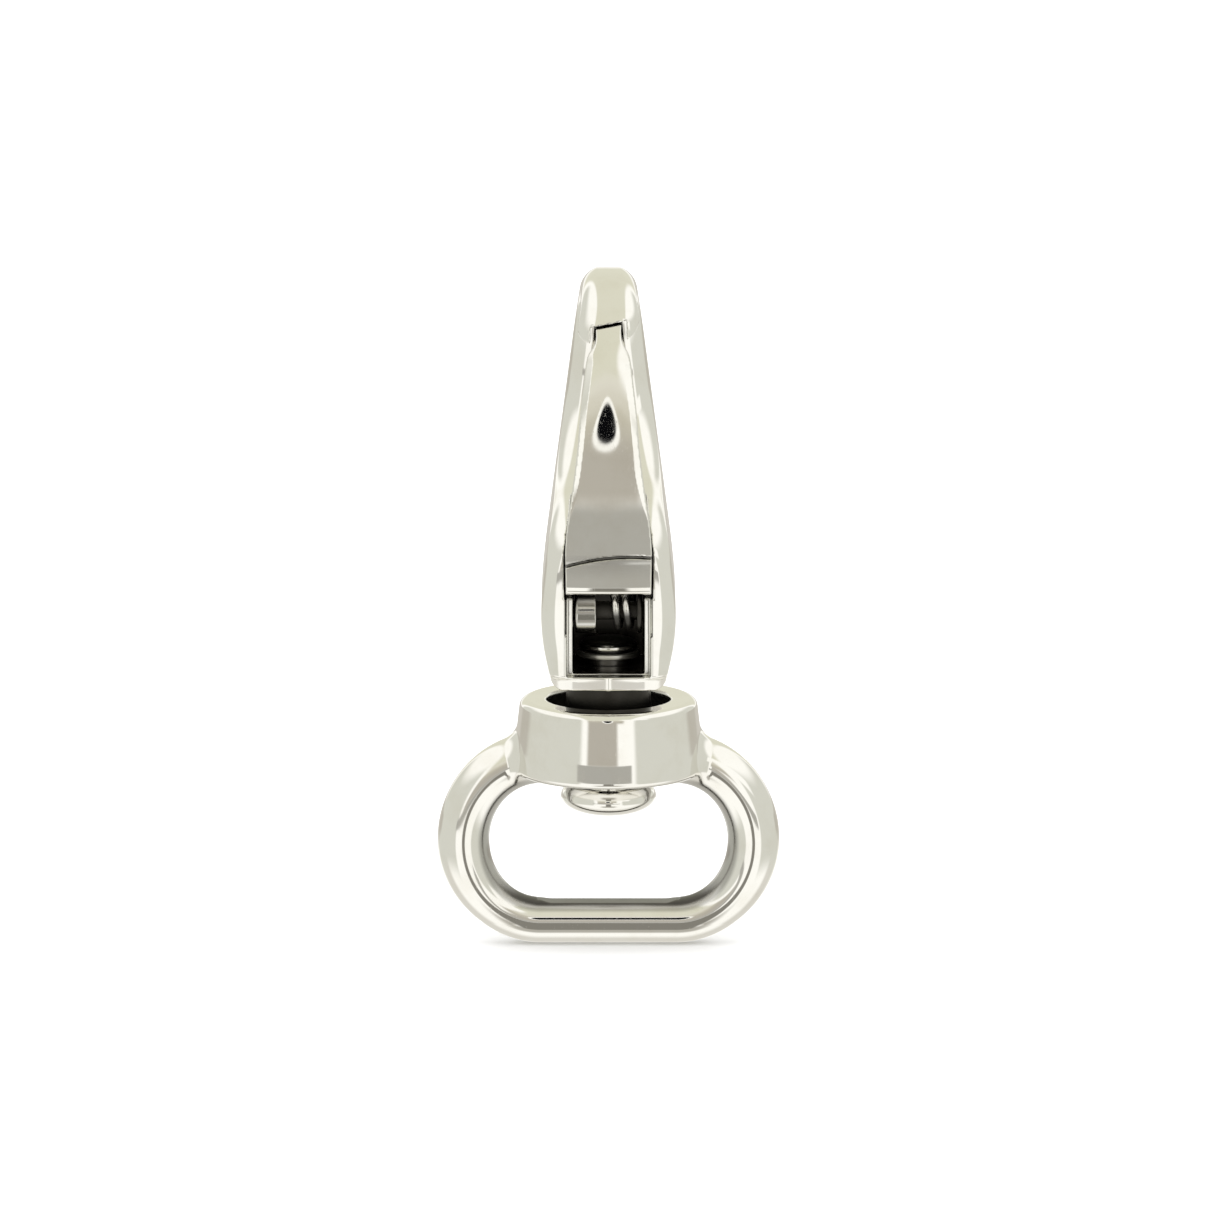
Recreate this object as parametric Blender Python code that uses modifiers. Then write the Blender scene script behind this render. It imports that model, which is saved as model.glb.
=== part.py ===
"""Swivel push-gate snap hook with an oval strap eye.

The origin is the middle of the flat land on which the webbing lies, on the swivel axis. +Z runs
along the swivel axis to the bow of the hook, +X along the width of the strap eye, and -Y is the gate
side. Heights below are measured from the underside of the collar; at the end the whole hook is
raised so that the land is at height 0.
"""

import math

import bmesh
import bpy
from mathutils import Matrix, Vector

MM = 0.001

# Collar and strap eye, in millimetres.
COLLAR_HEIGHT = 8.0
COLLAR_TOP_RADIUS = 9.2
COLLAR_FOOT_RADIUS = 10.1
COLLAR_ROUNDING = 0.7
BORE_RADIUS = 2.8
COUNTERBORE_RADIUS = 6.55
COUNTERBORE_FLOOR = 5.5
EYE_STRAIGHT_HALF = 7.2
EYE_END_HALF_WIDTH = 8.2
EYE_TOP = 1.5
EYE_BOTTOM = -16.2
EYE_ARM_RADIUS = 2.75
EYE_BAR_RADIUS = 2.33
LAND_DEPTH = 0.18

# Hook body.
BASE_BOTTOM = 10.1
BASE_FRONT = -8.0
BODY_EDGE_ROUNDING = 1.0
NECK_RADIUS = 4.5
NECK_BOTTOM = 5.8
SLOT_HALF_WIDTH = 4.65
SLOT_FLOOR = 20.0
LEDGE_HALF_WIDTH = 4.4
LEDGE_FRONT = -6.6
LEDGE_BOTTOM = 11.7
POCKET_HALF_WIDTH = 3.75
POCKET_FLOOR = 12.3
POCKET_BACK = 3.6
SLOT_BACK = 4.7
SLOT_TOP = 36.0

# Gate and its hinge.
HINGE_Y = -4.2
HINGE_Z = 18.2
PIN_RADIUS = 1.0
PIN_CLEARANCE = 0.06
PIN_HALF_LENGTH = 6.95
KNUCKLE_RADIUS = 2.4
KNUCKLE_HALF_WIDTH = 3.55
KNUCKLE_TOP = 23.0
GATE_EDGE_ROUNDING = 0.5
SPRING_BAY = (-1.3, 3.0)
SPRING_BAY_RADIUS = 2.75
SPRING_BAY_BACK = -4.4
SPRING_BAY_TOP = 28.0

# Torsion spring.
WIRE_RADIUS = 0.4
COIL_RADIUS = 1.65
COIL_PITCH = 1.15
COIL_TURNS = 1.75
COIL_START_X = 0.51
GATE_LEG_END = (-3.7, 26.2)
BODY_LEG_END = (4.1, 20.75)

# Swivel rivet and its washer.
SHANK_RADIUS = 2.5
RIVET_HEAD_RADIUS = 5.05
RIVET_HEAD_TOP = -1.3
RIVET_HEAD_WIDEST = -2.6
RIVET_HEAD_BOTTOM = -4.6
WASHER_RADIUS = 3.4
WASHER_THICKNESS = 0.6
SEAT_GAP = 0.3
TAIL_RADIUS = 3.1
TAIL_HEIGHT = 1.1

# Fineness: facets round a full turn, curve points per Bezier segment, and facets of a tube.
ROUND_STEPS = 48
OUTLINE_RESOLUTION = 4
RING_BEVEL_RESOLUTION = 3
WIRE_BEVEL_RESOLUTION = 1
SHARP_DEGREES = 35


def remove_everything():
    for old in list(bpy.data.objects):
        bpy.data.objects.remove(old, do_unlink=True)


def new_collection(name):
    collection = bpy.data.collections.new(name)
    bpy.context.scene.collection.children.link(collection)
    return collection


def metal(name, colour, roughness):
    material = bpy.data.materials.new(name)
    material.use_nodes = True
    shader = material.node_tree.nodes["Principled BSDF"]
    shader.inputs["Base Color"].default_value = (*colour, 1.0)
    shader.inputs["Metallic"].default_value = 1.0
    shader.inputs["Roughness"].default_value = roughness
    return material


def add_object(name, data, collection):
    obj = bpy.data.objects.new(name, data)
    collection.objects.link(obj)
    return obj


def as_cutter(obj):
    obj.hide_render = True
    obj.display_type = "WIRE"
    return obj


def as_mesh(obj, name, collection):
    """The evaluated shape of obj as a new welded mesh object, in place of obj."""
    bpy.context.view_layer.update()
    depsgraph = bpy.context.evaluated_depsgraph_get()
    mesh = bpy.data.meshes.new_from_object(obj.evaluated_get(depsgraph))
    mesh.name = name
    placed = obj.matrix_world.copy()
    bpy.data.objects.remove(obj, do_unlink=True)
    bm = bmesh_from(mesh)
    bmesh.ops.remove_doubles(bm, verts=bm.verts, dist=0.00001)
    bm.to_mesh(mesh)
    bm.free()
    result = add_object(name, mesh, collection)
    result.matrix_world = placed
    return result


def bmesh_from(mesh):
    bm = bmesh.new()
    bm.from_mesh(mesh)
    return bm


def combine(obj, other, operation):
    modifier = obj.modifiers.new(f"{operation.lower()}_{other.name}", "BOOLEAN")
    modifier.operation = operation
    modifier.object = other
    return modifier


def bevel(obj, width, segments, angle_degrees):
    weld = obj.modifiers.new("close_points", "WELD")
    weld.merge_threshold = 0.0001
    modifier = obj.modifiers.new("rounded_edges", "BEVEL")
    modifier.width = width * MM
    modifier.segments = segments
    modifier.limit_method = "ANGLE"
    modifier.angle_limit = math.radians(angle_degrees)
    modifier.use_clamp_overlap = False
    return modifier


def shade(obj):
    obj.data.shade_smooth()
    obj.data.set_sharp_from_angle(angle=math.radians(SHARP_DEGREES))


def box(name, low, high, collection):
    bm = bmesh.new()
    bmesh.ops.create_cube(bm, size=1.0)
    size = Vector(high) - Vector(low)
    centre = (Vector(high) + Vector(low)) / 2
    bmesh.ops.transform(bm, matrix=Matrix.Diagonal((*(size * MM), 1.0)), verts=bm.verts)
    mesh = bpy.data.meshes.new(name)
    bm.to_mesh(mesh)
    bm.free()
    obj = add_object(name, mesh, collection)
    obj.location = centre * MM
    return obj


def rod(name, radius, low_x, high_x, y, z, collection, bevel_width=0.0):
    """A cylinder along X."""
    bm = bmesh.new()
    bmesh.ops.create_cone(
        bm,
        cap_ends=True,
        segments=ROUND_STEPS,
        radius1=radius * MM,
        radius2=radius * MM,
        depth=(high_x - low_x) * MM,
        matrix=Matrix.Rotation(math.pi / 2, 4, "Y"),
    )
    mesh = bpy.data.meshes.new(name)
    bm.to_mesh(mesh)
    bm.free()
    obj = add_object(name, mesh, collection)
    obj.location = Vector(((low_x + high_x) / 2, y, z)) * MM
    if bevel_width:
        bevel(obj, bevel_width, 2, 60)
    return obj


def turned(name, profile, collection):
    """A solid turned about +Z from a profile of (radius, z), given down its outer side."""
    mesh = bpy.data.meshes.new(name)
    points = [(radius * MM, 0.0, z * MM) for radius, z in profile]
    count = len(points)
    closed = profile[0][0] > 0 and profile[-1][0] > 0
    edges = [(i, i + 1) for i in range(count - 1)]
    if closed:
        edges.append((count - 1, 0))
    mesh.from_pydata(points, edges, [])
    obj = add_object(name, mesh, collection)
    screw = obj.modifiers.new("turned", "SCREW")
    screw.steps = ROUND_STEPS
    screw.render_steps = ROUND_STEPS
    screw.use_merge_vertices = True
    screw.merge_threshold = 0.00001
    return obj


def arc(centre, radius, start, end, steps):
    """Points (a, b) round centre from start to end degrees."""
    angles = [math.radians(start + (end - start) * i / steps) for i in range(steps + 1)]
    return [(centre[0] + radius * math.cos(t), centre[1] + radius * math.sin(t)) for t in angles]


def plate(name, outline, half_thickness, collection, across):
    """A flat outline of Bezier points (a, b, corner), as thick as stated along the third axis.

    across is "X" for an outline of (y, z), and "Y" for an outline of (x, z).
    """
    curve = bpy.data.curves.new(name, "CURVE")
    curve.dimensions = "2D"
    curve.fill_mode = "BOTH"
    curve.extrude = half_thickness * MM
    spline = curve.splines.new("BEZIER")
    spline.bezier_points.add(len(outline) - 1)
    for point, (a, b, corner) in zip(spline.bezier_points, outline):
        point.co = (a * MM, b * MM, 0.0)
        kind = "VECTOR" if corner else "AUTO"
        point.handle_left_type = kind
        point.handle_right_type = kind
    spline.resolution_u = OUTLINE_RESOLUTION
    spline.use_cyclic_u = True
    obj = add_object(name, curve, collection)
    if across == "X":
        obj.matrix_world = Matrix(((0, 0, 1, 0), (1, 0, 0, 0), (0, 1, 0, 0), (0, 0, 0, 1)))
    else:
        obj.matrix_world = Matrix(((1, 0, 0, 0), (0, 0, -1, 0), (0, 1, 0, 0), (0, 0, 0, 1)))
    return as_mesh(obj, name, collection)


def mirrored_outline(half):
    """A closed (x, z) outline from the (half width, z, corner) points of its right side, going up."""
    left = [(-width, z, corner) for width, z, corner in reversed(half)]
    return half + left


def tube(name, points, radii, collection, resolution, cyclic=False):
    curve = bpy.data.curves.new(name, "CURVE")
    curve.dimensions = "3D"
    curve.bevel_depth = MM
    curve.bevel_resolution = resolution
    curve.use_fill_caps = not cyclic
    spline = curve.splines.new("POLY")
    spline.points.add(len(points) - 1)
    for point, place, radius in zip(spline.points, points, radii):
        point.co = (*(Vector(place) * MM), 1.0)
        point.radius = radius
    spline.use_cyclic_u = cyclic
    return as_mesh(add_object(name, curve, collection), name, collection)


def eye_path():
    """Centre line of the strap eye, and the tube's radius at each point."""
    middle = (EYE_TOP + EYE_BOTTOM) / 2
    half_height = (EYE_TOP - EYE_BOTTOM) / 2
    steps = 20
    points = []
    for side in (1, -1):
        for i in range(steps + 1):
            turn = math.radians(-90 + 180 * i / steps) if side == 1 else math.radians(90 + 180 * i / steps)
            x = side * EYE_STRAIGHT_HALF + EYE_END_HALF_WIDTH * math.cos(turn)
            z = middle + half_height * math.sin(turn)
            points.append((x, 0.0, z))
    radii = []
    for point in points:
        share = min(1.0, max(0.0, (point[2] - EYE_BOTTOM) / half_height))
        radii.append(EYE_BAR_RADIUS + (EYE_ARM_RADIUS - EYE_BAR_RADIUS) * math.sin(share * math.pi / 2))
    return points, radii


def build_swivel_eye(parts, cutters, material):
    top_centre = (COLLAR_TOP_RADIUS - COLLAR_ROUNDING, COLLAR_HEIGHT - COLLAR_ROUNDING)
    foot_centre = (COLLAR_FOOT_RADIUS - COLLAR_ROUNDING, COLLAR_ROUNDING)
    profile = arc(top_centre, COLLAR_ROUNDING, 90, 0, 3)
    profile += arc(foot_centre, COLLAR_ROUNDING, 0, -90, 3)
    profile += [(BORE_RADIUS, 0.0), (BORE_RADIUS, COUNTERBORE_FLOOR)]
    profile += [(COUNTERBORE_RADIUS, COUNTERBORE_FLOOR), (COUNTERBORE_RADIUS, COLLAR_HEIGHT)]
    eye = turned("swivel_eye", profile, parts)
    bore = turned(
        "collar_core",
        [(0, COLLAR_HEIGHT + 1), (COUNTERBORE_RADIUS, COLLAR_HEIGHT + 1)]
        + [(COUNTERBORE_RADIUS, COUNTERBORE_FLOOR), (BORE_RADIUS, COUNTERBORE_FLOOR)]
        + [(BORE_RADIUS, -6), (0, -6)],
        cutters,
    )
    points, radii = eye_path()
    ring = tube("strap_ring", points, radii, cutters, RING_BEVEL_RESOLUTION, cyclic=True)
    combine(ring, bore, "DIFFERENCE")
    land_top = EYE_BOTTOM + EYE_BAR_RADIUS
    land = box(
        "webbing_land",
        (-EYE_STRAIGHT_HALF, -3, land_top - LAND_DEPTH),
        (EYE_STRAIGHT_HALF, 3, land_top + 2),
        cutters,
    )
    combine(ring, land, "DIFFERENCE")
    combine(eye, ring, "UNION")
    for cutter in (bore, ring, land):
        as_cutter(cutter)
    eye.data.materials.append(material)
    return eye


BODY_SIDE = [
    (-7.2, BASE_BOTTOM, True),
    (BASE_FRONT, BASE_BOTTOM + 0.9, True),
    (BASE_FRONT, 21.5, False),
    (-7.3, 25.2, False),
    (-5.0, 28.2, False),
    (-1.8, 30.2, False),
    (1.8, 32.0, False),
    (5.0, 34.6, False),
    (6.9, 38.2, False),
    (7.35, 42.0, False),
    (7.0, 45.2, False),
    (5.4, 48.6, False),
    (2.0, 49.95, False),
    (-4.85, 49.95, True),
    (-5.0, 49.25, True),
    (-6.4, 49.05, True),
    (-4.5, 51.9, False),
    (-1.3, 53.55, False),
    (2.2, 53.9, False),
    (6.2, 52.8, False),
    (9.6, 49.2, False),
    (11.3, 43.5, False),
    (12.0, 36.5, False),
    (11.7, 29.0, False),
    (10.2, 21.5, False),
    (8.0, 14.5, False),
    (7.0, BASE_BOTTOM, True),
]

BODY_FRONT_HALF = [
    (5.85, 9.0, True),
    (5.85, BASE_BOTTOM, True),
    (6.75, 14.0, False),
    (7.1, 18.0, False),
    (6.85, 22.0, False),
    (6.1, 28.0, False),
    (5.3, 34.0, False),
    (4.5, 40.0, False),
    (3.75, 46.0, False),
    (3.15, 50.5, False),
    (2.5, 55.0, True),
]


def build_hook_body(parts, cutters, material):
    body = plate("hook_body", BODY_SIDE, 8.0, parts, "X")
    front = plate("body_front_outline", mirrored_outline(BODY_FRONT_HALF), 16.0, cutters, "Y")
    combine(body, front, "INTERSECT")
    bevel(body, BODY_EDGE_ROUNDING, 3, 50)
    neck = turned(
        "body_neck",
        [(0, BASE_BOTTOM + 2), (NECK_RADIUS, BASE_BOTTOM + 2), (NECK_RADIUS, NECK_BOTTOM), (0, NECK_BOTTOM)],
        cutters,
    )
    combine(body, neck, "UNION")
    slot = box(
        "gate_slot",
        (-SLOT_HALF_WIDTH, BASE_FRONT - 4, SLOT_FLOOR),
        (SLOT_HALF_WIDTH, SLOT_BACK, SLOT_TOP),
        cutters,
    )
    ledge = box(
        "window_ledge",
        (-LEDGE_HALF_WIDTH, BASE_FRONT - 4, LEDGE_BOTTOM),
        (LEDGE_HALF_WIDTH, LEDGE_FRONT, SLOT_FLOOR + 1),
        cutters,
    )
    pocket = box(
        "spring_pocket",
        (-POCKET_HALF_WIDTH, BASE_FRONT - 4, POCKET_FLOOR),
        (POCKET_HALF_WIDTH, POCKET_BACK, SLOT_FLOOR + 2),
        cutters,
    )
    pin_hole = rod(
        "pin_hole", PIN_RADIUS + PIN_CLEARANCE, -9, 9, HINGE_Y, HINGE_Z, cutters
    )
    rivet_hole = turned(
        "rivet_hole",
        [(0, POCKET_FLOOR + 2), (SHANK_RADIUS + PIN_CLEARANCE, POCKET_FLOOR + 2)]
        + [(SHANK_RADIUS + PIN_CLEARANCE, NECK_BOTTOM - 2), (0, NECK_BOTTOM - 2)],
        cutters,
    )
    for cutter in (slot, ledge, pocket, pin_hole, rivet_hole):
        combine(body, cutter, "DIFFERENCE")
        as_cutter(cutter)
    as_cutter(front)
    as_cutter(neck)
    body.data.materials.append(material)
    return body


GATE_SIDE = [
    (-6.6, 20.9, True),
    (-9.0, 21.1, False),
    (-10.2, 22.2, False),
    (-10.55, 24.4, False),
    (-10.5, 27.0, False),
    (-10.15, 33.0, False),
    (-9.85, 36.6, False),
    (-9.25, 40.4, False),
    (-8.3, 43.8, False),
    (-6.45, 48.7, True),
    (-4.95, 48.9, True),
    (-4.65, 49.55, True),
    (-3.4, 49.5, True),
    (-4.0, 46.0, False),
    (-5.2, 41.0, False),
    (-6.2, 36.0, False),
    (-6.7, 31.0, False),
    (-6.2, 27.5, False),
    (-4.3, 25.0, False),
    (-2.4, 23.6, False),
    (-2.2, 22.4, True),
    (-3.6, 21.4, True),
]

GATE_FRONT_HALF = [
    (4.2, 19.5, True),
    (4.3, 23.0, False),
    (4.45, 26.0, False),
    (4.05, 30.0, False),
    (3.6, 33.5, False),
    (3.2, 37.0, False),
    (2.9, 40.5, False),
    (2.6, 43.5, False),
    (2.35, 45.8, False),
    (1.65, 47.2, False),
    (1.6, 50.0, True),
]


def build_gate(parts, cutters, hinge, material):
    gate = plate("gate", GATE_SIDE, 6.0, parts, "X")
    front = plate("gate_front_outline", mirrored_outline(GATE_FRONT_HALF), 16.0, cutters, "Y")
    combine(gate, front, "INTERSECT")
    bevel(gate, GATE_EDGE_ROUNDING, 2, 50)
    low_half = [(y, z, True) for y, z in arc((HINGE_Y, HINGE_Z), KNUCKLE_RADIUS, 180, 360, 16)]
    knuckle_side = low_half + [(HINGE_Y + KNUCKLE_RADIUS - 0.3, KNUCKLE_TOP, True)]
    knuckle_side.append((HINGE_Y - KNUCKLE_RADIUS, KNUCKLE_TOP, True))
    knuckle = plate("gate_knuckle", knuckle_side, KNUCKLE_HALF_WIDTH, cutters, "X")
    combine(gate, knuckle, "UNION")
    bay = rod(
        "spring_bay", SPRING_BAY_RADIUS, SPRING_BAY[0], SPRING_BAY[1], HINGE_Y, HINGE_Z, cutters
    )
    bay_back = box(
        "spring_bay_back",
        (SPRING_BAY[0], SPRING_BAY_BACK, HINGE_Z),
        (SPRING_BAY[1], SPRING_BAY_BACK + 6, SPRING_BAY_TOP),
        cutters,
    )
    hole = rod("gate_pin_hole", PIN_RADIUS + PIN_CLEARANCE, -9, 9, HINGE_Y, HINGE_Z, cutters)
    for cutter in (bay, bay_back, hole):
        combine(gate, cutter, "DIFFERENCE")
        as_cutter(cutter)
    as_cutter(front)
    as_cutter(knuckle)
    gate.parent = hinge
    gate.matrix_parent_inverse = Matrix.Translation(-hinge.location)
    gate.data.materials.append(material)
    return gate


def spring_path():
    """Centre line of the torsion spring: body leg, coil round the pin, gate leg."""
    steps = 16
    coil = []
    for i in range(int(steps * COIL_TURNS) + 1):
        turn = math.radians(90.0 + 360.0 * i / steps)
        x = COIL_START_X + COIL_PITCH * i / steps
        coil.append((x, HINGE_Y + COIL_RADIUS * math.cos(turn), HINGE_Z + COIL_RADIUS * math.sin(turn)))
    body_leg = (coil[0][0], *BODY_LEG_END)
    gate_leg = (coil[-1][0], *GATE_LEG_END)
    return [body_leg] + coil + [gate_leg]


def build_gate_spring(parts, hinge, material):
    points = spring_path()
    spring = tube("gate_spring", points, [WIRE_RADIUS] * len(points), parts, WIRE_BEVEL_RESOLUTION)
    spring.parent = hinge
    spring.matrix_parent_inverse = Matrix.Translation(-hinge.location)
    spring.data.materials.append(material)
    return spring


def build_swivel_rivet(parts, material):
    washer_top = POCKET_FLOOR + SEAT_GAP + WASHER_THICKNESS
    tail_bottom = washer_top + SEAT_GAP
    tail_top = tail_bottom + TAIL_HEIGHT
    upper = RIVET_HEAD_TOP - RIVET_HEAD_WIDEST
    lower = RIVET_HEAD_WIDEST - RIVET_HEAD_BOTTOM
    quarter = [math.radians(90 * i / 5) for i in range(6)]
    profile = [(0, tail_top), (TAIL_RADIUS - 0.8, tail_top - 0.15), (TAIL_RADIUS, tail_top - 0.6)]
    profile += [(TAIL_RADIUS, tail_bottom), (SHANK_RADIUS, tail_bottom), (SHANK_RADIUS, RIVET_HEAD_TOP)]
    flat = RIVET_HEAD_RADIUS - upper
    profile += [(flat + upper * math.sin(t), RIVET_HEAD_WIDEST + upper * math.cos(t)) for t in quarter]
    profile += [
        (RIVET_HEAD_RADIUS * math.cos(t), RIVET_HEAD_WIDEST - lower * math.sin(t)) for t in quarter[1:]
    ]
    profile[-1] = (0, RIVET_HEAD_BOTTOM)
    rivet = turned("swivel_rivet", profile, parts)
    rivet.data.materials.append(material)
    return rivet


def build_rivet_washer(parts, material):
    bottom = POCKET_FLOOR + SEAT_GAP
    top = bottom + WASHER_THICKNESS
    inner = SHANK_RADIUS + 0.2
    washer = turned(
        "rivet_washer", [(WASHER_RADIUS, top), (WASHER_RADIUS, bottom), (inner, bottom), (inner, top)], parts
    )
    washer.data.materials.append(material)
    return washer


def build_gate_pin(parts, hinge, material):
    pin = rod("gate_pin", PIN_RADIUS, -PIN_HALF_LENGTH, PIN_HALF_LENGTH, 0, 0, parts, bevel_width=0.25)
    pin.parent = hinge
    pin.data.materials.append(material)
    return pin


def raise_onto_land(collections):
    """Moves every object that has no parent up, so that the webbing land is at height 0."""
    land_height = EYE_BOTTOM + EYE_BAR_RADIUS - LAND_DEPTH
    for collection in collections:
        for obj in collection.objects:
            if obj.parent is None:
                obj.matrix_world = Matrix.Translation((0, 0, -land_height * MM)) @ obj.matrix_world


def build():
    remove_everything()
    parts = new_collection("swivel_snap_hook")
    cutters = new_collection("swivel_snap_hook_cutters")
    nickel = metal("polished_nickel", (0.80, 0.78, 0.74), 0.08)
    steel = metal("spring_steel", (0.55, 0.54, 0.52), 0.25)
    hinge = add_object("gate_hinge_axis", None, parts)
    hinge.location = Vector((0, HINGE_Y, HINGE_Z)) * MM
    bpy.context.view_layer.update()
    build_swivel_eye(parts, cutters, nickel)
    build_hook_body(parts, cutters, nickel)
    build_gate(parts, cutters, hinge, nickel)
    build_gate_pin(parts, hinge, steel)
    build_gate_spring(parts, hinge, steel)
    build_swivel_rivet(parts, nickel)
    build_rivet_washer(parts, steel)
    raise_onto_land((parts, cutters))
    for obj in parts.objects:
        if obj.type == "MESH":
            shade(obj)


build()
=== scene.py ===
"""The looks of the swivel snap hook: polished surfaces, metals, studio light and camera.

Lengths are in millimetres until a mesh is made. Heights (z) are measured from the underside of the
collar, as in a drawing of the hook; lift() turns them into the frame's heights.
"""

import math

import bpy
import numpy as np
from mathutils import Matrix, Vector

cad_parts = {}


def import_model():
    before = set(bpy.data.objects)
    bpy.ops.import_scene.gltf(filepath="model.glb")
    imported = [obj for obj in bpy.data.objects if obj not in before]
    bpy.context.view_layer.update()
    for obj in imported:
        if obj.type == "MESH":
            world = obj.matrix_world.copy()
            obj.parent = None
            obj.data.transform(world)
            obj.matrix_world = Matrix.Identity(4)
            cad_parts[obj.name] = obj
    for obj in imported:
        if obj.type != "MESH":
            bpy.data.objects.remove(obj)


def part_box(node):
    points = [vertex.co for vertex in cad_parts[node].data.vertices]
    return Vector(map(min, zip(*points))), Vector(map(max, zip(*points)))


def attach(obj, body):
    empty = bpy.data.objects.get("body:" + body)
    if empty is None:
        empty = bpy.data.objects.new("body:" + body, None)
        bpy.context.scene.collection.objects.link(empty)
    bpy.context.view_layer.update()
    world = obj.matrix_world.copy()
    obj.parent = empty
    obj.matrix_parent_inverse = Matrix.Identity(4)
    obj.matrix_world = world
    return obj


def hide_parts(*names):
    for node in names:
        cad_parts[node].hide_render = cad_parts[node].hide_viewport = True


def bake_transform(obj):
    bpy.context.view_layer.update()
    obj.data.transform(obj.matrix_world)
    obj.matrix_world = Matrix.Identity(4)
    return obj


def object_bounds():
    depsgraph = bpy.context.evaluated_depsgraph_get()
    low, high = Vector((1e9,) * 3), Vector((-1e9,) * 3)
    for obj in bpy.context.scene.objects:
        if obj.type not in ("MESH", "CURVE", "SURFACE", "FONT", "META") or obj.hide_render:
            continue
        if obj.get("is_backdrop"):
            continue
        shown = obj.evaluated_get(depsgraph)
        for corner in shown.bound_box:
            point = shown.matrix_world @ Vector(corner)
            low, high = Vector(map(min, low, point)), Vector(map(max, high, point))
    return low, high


MM = 0.001

# Collar and strap eye.
COLLAR_HEIGHT = 8.0
COLLAR_FOOT_RADIUS = 10.1
COLLAR_FOOT_SLOPE = 0.05
COLLAR_SIDE_SLOPE = 0.115
COLLAR_RIM_SLOPE = 0.35
COLLAR_ROUNDING = 0.7
BORE_RADIUS = 2.8
COUNTERBORE_RADIUS = 6.55
COUNTERBORE_FLOOR = 5.5
EYE_STRAIGHT_HALF = 7.2
EYE_END_HALF_WIDTH = 8.2
EYE_TOP = 1.5
EYE_BOTTOM = -16.2
EYE_ARM_RADIUS = 2.75
EYE_BAR_RADIUS = 2.33
EYE_FILLET = 1.2
LAND_DEPTH = 0.18
LAND_END_RISE = 0.25

# Hook body.
BASE_BOTTOM = 10.1
NECK_RADIUS = 4.5
NECK_BOTTOM = 5.8
SLOT_HALF_WIDTH = 4.65
SLOT_FLOOR = 20.0
SLOT_BACK = 4.7
SLOT_TOP = 30.3
SLOT_TAPER = 0.14
SLOT_TAPER_START = 25.0
LEDGE_HALF_WIDTH = 4.4
LEDGE_FRONT = -6.6
LEDGE_BOTTOM = 11.7
POCKET_HALF_WIDTH = 3.75
POCKET_FLOOR = 12.3
POCKET_BACK = 3.6
MOUTH_ROUNDING = 0.18
FOOT_ROUNDING = 1.2
CHEEK_ROUNDING = 1.8
SPINE_ROUNDING = 2.25
RELIEF = (4.43, 4.6)
RELIEF_FRONT = -6.2
RELIEF_BOTTOM = 16.0
FACE_CANT = 0.105
LIP_CROWN = 0.012
PARTING_HEIGHT = 0.07
PARTING_HALF_WIDTH = 0.2
LIP_SLANT = 0.2
MOUTH_TOP = 49.95
FLANGE_BOTTOM = 47.2
NOTCH_HALF_WIDTH = 1.9
NOTCH_BOTTOM = 40
IN_FRONT = -14
LIP_HEIGHT = 49.1
LIP_BACK = -4.9

# Gate and hinge.
HINGE_Y = -4.2
HINGE_Z = 18.2
PIN_RADIUS = 1.0
PIN_CLEARANCE = 0.06
PIN_HALF_LENGTH = 6.95
KNUCKLE_RADIUS = 2.4
KNUCKLE_HALF_WIDTH = 3.55
KNUCKLE_TOP = 23.0
KNUCKLE_SET_BACK = 0.9
GATE_FACE_START = (-10.58, 24.5)
GATE_FACE_END = 48.8
GATE_FACE_SLOPES = (0.03, 0.455)
GATE_CROWN = (0.0135, 0.03)
GATE_CHAMFER = 0.75
GATE_CHAMFER_SLOPE = 0.17
GATE_DRAFT = 0.38
GATE_CORNER = 0.12
SPRING_BAY = (-1.3, 3.0)
SPRING_BAY_RADIUS = 2.75
SPRING_BAY_FRONT = -7.6
SPRING_BAY_BACK = -4.4
SPRING_BAY_TOP = 28.0
CREASE_TOP = 24.95
CREASE_SAG = 0.0235
CREASE_TILT = 0.1
CREASE_DEPTH = 0.35
CREASE_HALF_WIDTH = 0.15

# Torsion spring.
WIRE_RADIUS = 0.4
COIL_RADIUS = 1.65
COIL_PITCH = 1.15
COIL_TURNS = 1.75
COIL_START_X = 0.51
GATE_LEG_END = (-3.7, 26.2)
BODY_LEG_END = (4.1, 20.75)

# Swivel rivet and washer.
SHANK_RADIUS = 2.5
RIVET_HEAD_RADIUS = 5.05
RIVET_HEAD_TOP = -1.3
RIVET_HEAD_WIDEST = -2.6
RIVET_HEAD_BOTTOM = -4.6
WASHER_RADIUS = 3.4
WASHER_THICKNESS = 0.6
SEAT_GAP = 0.3
TAIL_RADIUS = 3.1
TAIL_HEIGHT = 1.1

# What the polished metal mirrors, as linear colours, and where the camera's lens is in it.
WHITE = (1.12, 1.11, 1.06)
PLAIN_WHITE = (1.5, 1.5, 1.5)
FLOOR_GLOW = (0.76, 0.74, 0.68)
CEILING = (0.78, 0.77, 0.64)
SIDE_WALL = (0.72, 0.72, 0.65)
GREY_OPENING = (0.51, 0.48, 0.42)
GREY_RAMP = (0.64, 0.61, 0.50)
GREY_SILL = (0.455, 0.445, 0.405)
FLOOR_SHADE = (0.50, 0.48, 0.43)
DARK_STAND = (0.25, 0.24, 0.21)
LENS_BLACK = (0.003, 0.003, 0.004)
LENS_DIRECTION = (-1.0, 12.2)
LENS_RADIUS = 5.3
LENS_RIM = 1.8
LENS_SOFT = 0.4

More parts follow.
